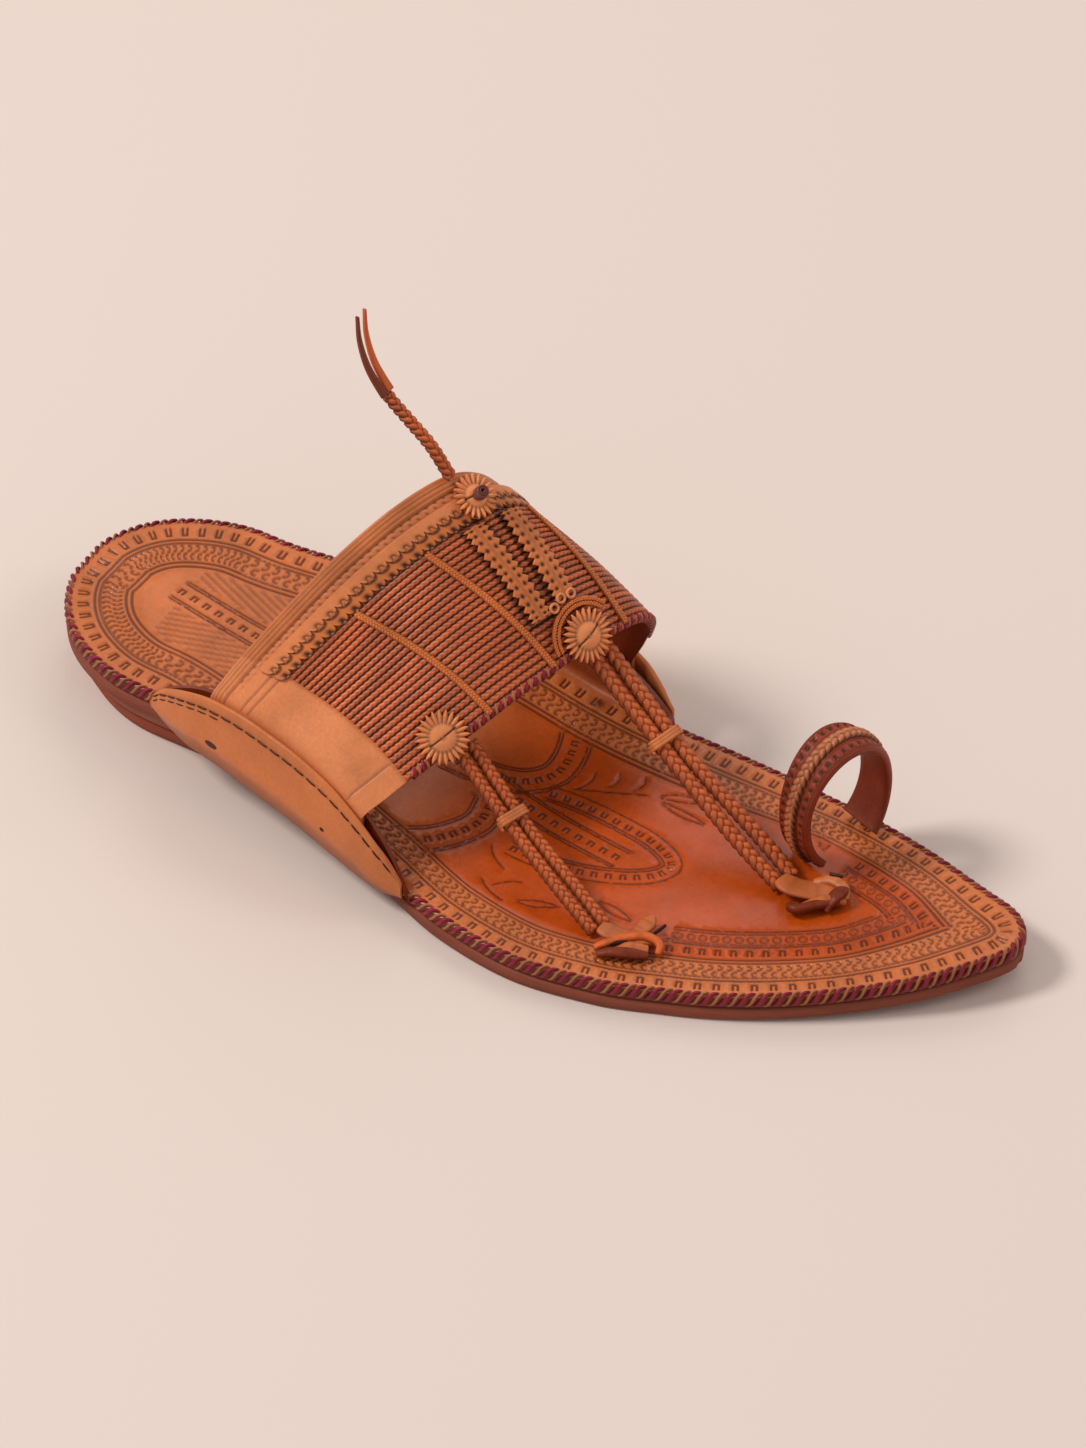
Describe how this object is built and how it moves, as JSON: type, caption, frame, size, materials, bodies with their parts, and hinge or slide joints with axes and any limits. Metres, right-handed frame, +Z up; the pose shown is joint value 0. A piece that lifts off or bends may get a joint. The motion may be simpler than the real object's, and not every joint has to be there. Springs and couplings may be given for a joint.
{
  "type": "kolhapuri sandal",
  "caption": "Open right-foot leather sandal with a flat stacked heel, an arched band of plaited cords, thin braided thongs and an upright big-toe loop.",
  "frame": {"origin": "middle of the bounding box's bottom face, on the floor under the waist of the sole", "axes": "+X from the heel to the toe, +Y towards the inner side of the foot, +Z up"},
  "size_m": [0.2794, 0.1052, 0.1375],
  "materials": {
    "leather_tan": "smooth tan vegetable-tanned leather",
    "leather_orange": "polished orange-tan tooled leather",
    "leather_brown": "red-brown oiled leather cord and strap",
    "leather_edge": "dark stained cut leather edge",
    "leather_dark": "near-black stained leather"
  },
  "bodies": {
    "root": {"outsole": "leather_edge", "heel_lift_lower": "leather_edge", "heel_lift_upper": "leather_brown", "footbed": "leather_orange", "ear_lateral": "leather_tan", "ear_medial": "leather_tan", "upper": "leather_brown", "scallop_strip": "leather_tan", "pinked_strip_outer": "leather_tan", "pinked_strip_inner": "leather_tan", "rosette_back": "leather_orange", "rosette_knob": "leather_dark", "rosette_centre": "leather_orange", "rosette_side": "leather_orange", "filigree_arc": "leather_tan", "braid_centre_outer": "leather_brown", "braid_centre_inner": "leather_brown", "braid_side_outer": "leather_brown", "braid_side_inner": "leather_brown", "tie_centre": "leather_tan", "tie_side": "leather_tan", "knot_tab_centre": "leather_orange", "knot_roll_centre": "leather_dark", "knot_tab_side": "leather_orange", "knot_roll_side": "leather_dark", "tail_braid": "leather_tan", "tail_tip_front": "leather_tan", "tail_tip_rear": "leather_tan", "toe_loop": "leather_brown"}
  },
  "joints": []
}
